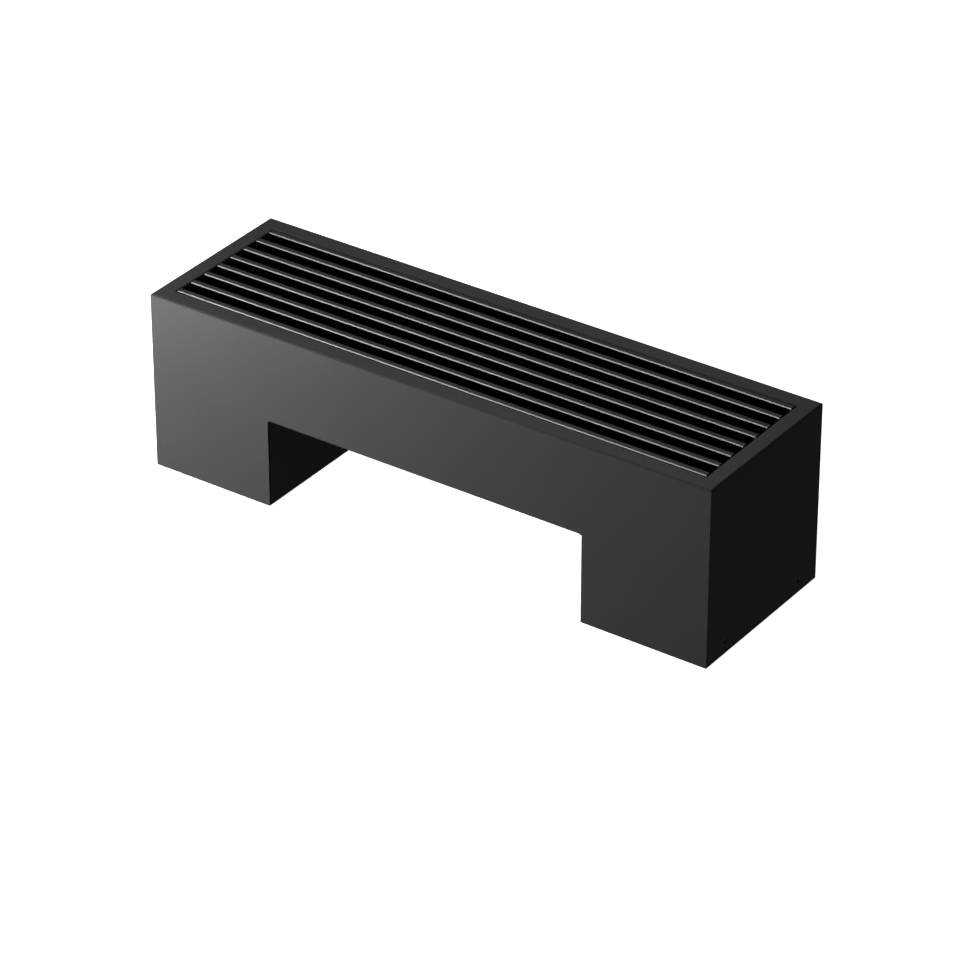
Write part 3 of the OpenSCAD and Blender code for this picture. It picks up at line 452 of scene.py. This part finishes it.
# Tubes and return bends
# Drawn copper, brazed at both ends. It has gone brown in patches, and darker where the flame was, close to
# the bends and the headers.
TARNISH = 22 * MM
FLAME_REACH = 26 * MM
copper, tree, shader, place = material("drawn_copper")
tarnish = add(
    tree, "ShaderNodeTexNoise", {"Scale": 1 / TARNISH, "Detail": 4.0}, {"Vector": place}).outputs[0]
along = add(tree, "ShaderNodeSeparateXYZ", links={0: place}).outputs["X"]
tube_low, tube_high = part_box("front_lower_tube")
middle = (tube_low.x + tube_high.x) / 2
half = (tube_high.x - tube_low.x) / 2
offset = add(tree, "ShaderNodeMath", {"operation": "SUBTRACT", 1: middle}, {0: along}).outputs[0]
distance = add(tree, "ShaderNodeMath", {"operation": "ABSOLUTE"}, {0: offset}).outputs[0]
heated = {"From Min": half - FLAME_REACH, "From Max": half, "To Min": 0.0, "To Max": 0.8}
flame = add(tree, "ShaderNodeMapRange", heated, {"Value": distance}).outputs[0]
tone = add(tree, "ShaderNodeMix", {"data_type": "RGBA", 6: "#9c5f44", 7: "#c98362"}, {0: tarnish}).outputs[2]
tone = add(tree, "ShaderNodeMix", {"data_type": "RGBA", 7: "#5d4238"}, {0: flame, 6: tone}).outputs[2]
rough = add(tree, "ShaderNodeMapRange", {"To Min": 0.42, "To Max": 0.26}, {"Value": tarnish}).outputs[0]
tree.links.new(tone, shader.inputs["Base Color"])
tree.links.new(rough, shader.inputs["Roughness"])
shader.inputs["Metallic"].default_value = 1.0
dress(copper, "front_lower_tube", "front_upper_tube", "rear_lower_tube", "rear_upper_tube",
      "lower_return_bend", "upper_return_bend")


# Cups of the return bends
# The ends of each bend are widened over the tubes, so every tube enters a short copper cup with a rolled
# mouth. The cups are drawn from the bend's own wall and darkened by the brazing flame.
CUP_LENGTH = 5.5 * MM
CUP_RISE = 0.8 * MM
CUP_SINK = 0.3 * MM
CUP_TAPER = 1.5 * MM
LATHE_POINTS = 48
tubes = ["front_lower_tube", "front_upper_tube", "rear_lower_tube", "rear_upper_tube"]


def tube_line(name):
    """Radius of a tube, the Y and Z of its middle line, and the X of its open end at the bend."""
    low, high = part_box(name)
    return (high.z - low.z) / 2, (low.y + high.y) / 2, (low.z + high.z) / 2, low.x


def lathe(section, y, z):
    """Turns a section of (along, out) pairs about a line along X. Each point lies at along on the line, and
    off it by out times the sine of the angle in Y and by out times its cosine in Z."""
    angle = np.linspace(0.0, 2 * np.pi, LATHE_POINTS, endpoint=False)[:, None]
    along, out = section[None, :, 0], section[None, :, 1]
    return np.stack([along + 0 * angle, y + out * np.sin(angle), z + out * np.cos(angle)], -1)


cups = []
for name in tubes:
    r, y, z, end = tube_line(name)
    mouth = end + CUP_LENGTH
    cups.append(lathe(np.array([
        (end - CUP_TAPER, r - CUP_SINK), (end - CUP_TAPER, r), (end, r + CUP_RISE),
        (mouth - CUP_RISE / 2, r + CUP_RISE), (mouth, r + CUP_RISE / 2), (mouth, r - CUP_SINK)]), y, z))
piece("return_bend_cups", cups, copper, "stand_and_casing", ring=True)


# Brazing
# Copper-phosphorus alloy, run into each joint with a torch. It fills the corner in a smooth hollow ring,
# duller and greyer than the copper, and rippled where it froze.
BRAZE_REACH = 1.7 * MM
BRAZE_STRETCH = 2
BRAZE_POINTS = 7
BRAZE_RIPPLE = 2.5 * MM
RIPPLE_DEPTH = 0.15 * MM
brazing, tree, shader, place = material("copper_phosphorus_braze")
ripple = add(tree, "ShaderNodeTexNoise", {"Scale": 1 / BRAZE_RIPPLE}, {"Vector": place}).outputs[0]
tone = add(tree, "ShaderNodeMix", {"data_type": "RGBA", 6: "#7b6455", 7: "#b09278"}, {0: ripple}).outputs[2]
rough = add(tree, "ShaderNodeMapRange", {"To Min": 0.30, "To Max": 0.50}, {"Value": ripple}).outputs[0]
bump = add(tree, "ShaderNodeBump", {"Distance": RIPPLE_DEPTH}, {"Height": ripple}).outputs[0]
tree.links.new(tone, shader.inputs["Base Color"])
tree.links.new(rough, shader.inputs["Roughness"])
tree.links.new(bump, shader.inputs["Normal"])
shader.inputs["Metallic"].default_value = 1.0


def hollow(reach):
    """A concave quarter arc in a corner, as two arrays: the height up one wall, which is the reach less its
    cosine part, and the distance along the other, which is the reach less its sine part."""
    t = np.linspace(0.0, np.pi / 2, BRAZE_POINTS)
    return reach * (1 - np.cos(t)), reach * (1 - np.sin(t))


rings = []
for name in tubes:
    r, y, z, end = tube_line(name)
    mouth = end + CUP_LENGTH
    up, away = hollow(CUP_RISE)
    fillet = np.stack([mouth + BRAZE_STRETCH * away, r + up], 1)
    buried = [(mouth - CUP_SINK, r + CUP_RISE / 2), (mouth - CUP_SINK, r - CUP_SINK)]
    rings.append(lathe(np.concatenate([fillet, buried]), y, z))
    header_low, header_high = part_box("supply_header" if y < 0 else "return_header")
    header_r = (header_high.y - header_low.y) / 2
    header_x = header_low.x + header_r
    up, away = hollow(BRAZE_REACH)
    out = np.concatenate([r + up, [r - CUP_SINK, r - CUP_SINK]])
    back = np.concatenate([away, [-CUP_SINK, BRAZE_REACH]])
    ring = lathe(np.stack([-back, out], 1), y, z)
    # Its points then follow the header's round side: X is the header's middle less the root of its radius
    # squared less the distance across squared
    ring[..., 0] += header_x - np.sqrt(header_r ** 2 - (ring[..., 1] - y) ** 2)
    rings.append(ring)
piece("brazed_rings", rings, brazing, "stand_and_casing", ring=True)


# Coil plates, foot plates and saddles
# Hot-dip galvanised sheet. The zinc freezes in flat crystals about a centimetre across, each with a
# slightly different grey and gloss.
SPANGLE = 9 * MM
SPANGLE_DEPTH = 0.03 * MM
galvanised, tree, shader, place = material("galvanised_steel")
warp = add(tree, "ShaderNodeTexNoise", {"Scale": 1 / SPANGLE, "Detail": 1.0}, {"Vector": place}).outputs[0]
crystal = add(tree, "ShaderNodeTexVoronoi", {"Scale": 1 / SPANGLE, "Randomness": 1.0}, {"Vector": place})
chance = add(tree, "ShaderNodeSeparateColor", links={0: crystal.outputs["Color"]}).outputs
tone = add(
    tree, "ShaderNodeMix", {"data_type": "RGBA", 6: "#8b9095", 7: "#b3b8bc"}, {0: chance[0]}).outputs[2]
rough = add(tree, "ShaderNodeMapRange", {"To Min": 0.34, "To Max": 0.56}, {"Value": chance[1]}).outputs[0]
bump = add(tree, "ShaderNodeBump", {"Distance": SPANGLE_DEPTH}, {"Height": warp}).outputs[0]
tree.links.new(tone, shader.inputs["Base Color"])
tree.links.new(rough, shader.inputs["Roughness"])
tree.links.new(bump, shader.inputs["Normal"])
shader.inputs["Metallic"].default_value = 0.9
dress(galvanised, "left_coil_plate", "right_coil_plate", "left_foot_plate", "right_foot_plate",
      "left_coil_saddle", "right_coil_saddle")


# Fasteners of the stands
# Steel screws and nuts, zinc-plated and passivated. They are bright and smooth, with a faint straw and
# blue cast.
PASSIVE_FILM = 6 * MM
plated, tree, shader, place = material("zinc_plated_steel")
film = add(tree, "ShaderNodeTexNoise", {"Scale": 1 / PASSIVE_FILM}, {"Vector": place}).outputs[0]
tone = add(tree, "ShaderNodeMix", {"data_type": "RGBA", 6: "#b9b49e", 7: "#b4bcc8"}, {0: film}).outputs[2]
rough = add(tree, "ShaderNodeMapRange", {"To Min": 0.24, "To Max": 0.36}, {"Value": film}).outputs[0]
tree.links.new(tone, shader.inputs["Base Color"])
tree.links.new(rough, shader.inputs["Roughness"])
shader.inputs["Metallic"].default_value = 1.0
dress(plated, "saddle_screws", "levelling_nuts", "end_screw_nuts")


# Levelling feet
# A black nylon pad moulded on to a zinc-plated M8 stud. The pad has a fine matt grain, and the stud is
# bright.
PAD_HEIGHT = 4 * MM
# The real grain is finer; it is drawn this coarse so that it shows
NYLON_GRAIN = 0.8 * MM
NYLON_DEPTH = 0.03 * MM
foot, tree, shader, place = material("moulded_nylon_and_plated_stud")
grain = add(tree, "ShaderNodeTexNoise", {"Scale": 1 / NYLON_GRAIN}, {"Vector": place}).outputs[0]
height = add(tree, "ShaderNodeSeparateXYZ", links={0: place}).outputs["Z"]
stud = add(tree, "ShaderNodeMath", {"operation": "GREATER_THAN", 1: PAD_HEIGHT}, {0: height}).outputs[0]
tone = add(tree, "ShaderNodeMix", {"data_type": "RGBA", 6: "#1b1b1c", 7: "#242425"}, {0: grain}).outputs[2]
tone = add(tree, "ShaderNodeMix", {"data_type": "RGBA", 7: "#b6bac0"}, {0: stud, 6: tone}).outputs[2]
rough = add(tree, "ShaderNodeMapRange", {"To Min": 0.62, "To Max": 0.30}, {"Value": stud}).outputs[0]
bump = add(tree, "ShaderNodeBump", {"Distance": NYLON_DEPTH}, {"Height": grain}).outputs[0]
tree.links.new(tone, shader.inputs["Base Color"])
tree.links.new(stud, shader.inputs["Metallic"])
tree.links.new(rough, shader.inputs["Roughness"])
tree.links.new(bump, shader.inputs["Normal"])
dress(foot, "front_left_foot", "front_right_foot", "rear_left_foot", "rear_right_foot")


# Headers, vent, plug, nuts, bonnets and spindles
# Brass turned from bar, with fine rings left by the lathe. It is a warm yellow that has dulled a little
# since.
DULLING = 12 * MM
# Real lathe rings are finer; they are drawn this coarse so that they show
LATHE_RING = 0.5 * MM
LATHE_DEPTH = 0.012 * MM


def turned_brass(name, ring):
    """Brass with lathe rings. Ring holds the pattern's size in X, Y and Z, small along the lathe's axis."""
    made, tree, shader, place = material(name)
    scale = [1 / size for size in ring]
    stretched = add(tree, "ShaderNodeMapping", {"Scale": scale}, {"Vector": place}).outputs[0]
    rings = add(tree, "ShaderNodeTexNoise", {"Scale": 1.0, "Detail": 1.0}, {"Vector": stretched}).outputs[0]
    dull = add(
        tree, "ShaderNodeTexNoise", {"Scale": 1 / DULLING, "Detail": 3.0}, {"Vector": place}).outputs[0]
    tone = add(
        tree, "ShaderNodeMix", {"data_type": "RGBA", 6: "#a8854a", 7: "#cfab66"}, {0: dull}).outputs[2]
    rough = add(tree, "ShaderNodeMapRange", {"To Min": 0.46, "To Max": 0.32}, {"Value": dull}).outputs[0]
    bump = add(tree, "ShaderNodeBump", {"Distance": LATHE_DEPTH}, {"Height": rings}).outputs[0]
    tree.links.new(tone, shader.inputs["Base Color"])
    tree.links.new(rough, shader.inputs["Roughness"])
    tree.links.new(bump, shader.inputs["Normal"])
    shader.inputs["Metallic"].default_value = 1.0
    return made


upright_brass = turned_brass("turned_brass_upright", (DULLING, DULLING, LATHE_RING))
dress(upright_brass, "supply_header", "return_header", "air_vent_body", "bleed_screw", "drain_plug",
      "supply_bonnet", "return_bonnet", "supply_spindle", "lockshield_spindle")
level_brass = turned_brass("turned_brass_level", (LATHE_RING, DULLING, DULLING))
dress(level_brass, "supply_union_nut", "return_union_nut")


# Valve bodies
# Hot-stamped brass, shot-blasted to a dull even grain before the ports are machined. It is darker and
# duller than the turned parts beside it.
BLASTING_DEPTH = 0.05 * MM
# The real grain is finer; it is drawn this coarse so that it shows
BLASTING = 0.8 * MM
stamped, tree, shader, place = material("blasted_brass")
blast = add(tree, "ShaderNodeTexNoise", {"Scale": 1 / BLASTING}, {"Vector": place}).outputs[0]
dull = add(tree, "ShaderNodeTexNoise", {"Scale": 1 / DULLING, "Detail": 3.0}, {"Vector": place}).outputs[0]
tone = add(tree, "ShaderNodeMix", {"data_type": "RGBA", 6: "#9a7c48", 7: "#b9985b"}, {0: dull}).outputs[2]
bump = add(tree, "ShaderNodeBump", {"Distance": BLASTING_DEPTH}, {"Height": blast}).outputs[0]
tree.links.new(tone, shader.inputs["Base Color"])
tree.links.new(bump, shader.inputs["Normal"])
shader.inputs["Roughness"].default_value = 0.46
shader.inputs["Metallic"].default_value = 1.0
dress(stamped, "supply_valve_body", "return_valve_body")


# Hand wheel and lockshield cap
# Moulded ABS, pushed on to the spindles. The mould is spark-eroded, which leaves a grain that makes the
# plastic matt with a soft highlight.
SPARK_DEPTH = 0.04 * MM
# The real grain is finer; it is drawn this coarse so that it shows
SPARK_GRAIN = 0.7 * MM
abs_plastic, tree, shader, place = material("moulded_abs")
grain = add(tree, "ShaderNodeTexNoise", {"Scale": 1 / SPARK_GRAIN}, {"Vector": place}).outputs[0]
tone = add(tree, "ShaderNodeMix", {"data_type": "RGBA", 6: "#1d1e1f", 7: "#262728"}, {0: grain}).outputs[2]
bump = add(tree, "ShaderNodeBump", {"Distance": SPARK_DEPTH}, {"Height": grain}).outputs[0]
tree.links.new(tone, shader.inputs["Base Color"])
tree.links.new(bump, shader.inputs["Normal"])
shader.inputs["Roughness"].default_value = 0.5
shader.inputs["IOR"].default_value = 1.53
dress(abs_plastic, "hand_wheel", "lockshield_cap")


# Marks on the hand wheel
# An arrow round the wheel's top that points to a plus, the way that opens the valve. They are moulded
# in a second shot of light grey ABS that stands a little proud of the sunk top.
MARK_RISE = 0.35 * MM
MARK_SINK = 0.3 * MM
MARK_WIDTH = 1.2 * MM
MARK_RADIUS = 8.2 * MM
MARK_DEPTH = 0.03 * MM
ARROW_START = math.radians(35)
ARROW_NECK = math.radians(325)
ARROW_TIP = math.radians(347)
ARROW_WIDTH = 3.4 * MM
SHAFT_POINTS = 60
TIP_WIDTH = 0.1 * MM
TIP_POINTS = 8
PLUS_AT = math.radians(11)
PLUS_SIZE = 3.6 * MM
WHEEL_DISH = 0.8 * MM
marking, tree, shader, place = material("light_grey_moulded_abs")
grain = add(tree, "ShaderNodeTexNoise", {"Scale": 1 / SPARK_GRAIN}, {"Vector": place}).outputs[0]
tone = add(tree, "ShaderNodeMix", {"data_type": "RGBA", 6: "#a9abac", 7: "#bcbebf"}, {0: grain}).outputs[2]
bump = add(tree, "ShaderNodeBump", {"Distance": MARK_DEPTH}, {"Height": grain}).outputs[0]
tree.links.new(tone, shader.inputs["Base Color"])
tree.links.new(bump, shader.inputs["Normal"])
shader.inputs["Roughness"].default_value = 0.5
shader.inputs["IOR"].default_value = 1.53

low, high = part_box("hand_wheel")
wheel_x, wheel_y = (low.x + high.x) / 2, (low.y + high.y) / 2
wheel_top = high.z - WHEEL_DISH


def arrow():
    """A box section carried round the wheel's middle. Each point lies off it by the radius, less or plus
    half the width at that angle, times the cosine in X and the sine in Y, and at one of two levels."""
    shaft = np.linspace(ARROW_START, ARROW_NECK, SHAFT_POINTS)
    tip = np.linspace(ARROW_NECK, ARROW_TIP, TIP_POINTS)
    angle = np.concatenate([shaft, tip])[:, None]
    narrowing = np.linspace(ARROW_WIDTH, TIP_WIDTH, TIP_POINTS)
    width = np.concatenate([np.full(SHAFT_POINTS, MARK_WIDTH), narrowing])[:, None]
    out = MARK_RADIUS + width / 2 * np.array((-1, 1, 1, -1))
    level = wheel_top + np.array((-MARK_SINK, -MARK_SINK, MARK_RISE, MARK_RISE)) + 0 * out
    return np.stack([wheel_x + out * np.cos(angle), wheel_y + out * np.sin(angle), level], -1)


def plus():
    """A cross of twelve corners, carried from one level to another. It is one arm's three corners, turned by
    no, one, two and three quarter turns about the middle of the mark."""
    h, w = PLUS_SIZE / 2, MARK_WIDTH / 2
    arm = np.array([(w, w), (w, h), (-w, h)])
    quarter_turns = ((1, 0), (0, 1), (-1, 0), (0, -1))
    outline = np.concatenate([arm @ np.array(((c, s), (-s, c))) for c, s in quarter_turns])
    outline += (wheel_x + MARK_RADIUS * math.cos(PLUS_AT), wheel_y + MARK_RADIUS * math.sin(PLUS_AT))
    return np.stack([
        np.column_stack([outline, np.full(len(outline), wheel_top - MARK_SINK)]),
        np.column_stack([outline, np.full(len(outline), wheel_top + MARK_RISE)])])


piece("hand_wheel_marks", [arrow(), plus()], marking, "hand_wheel")
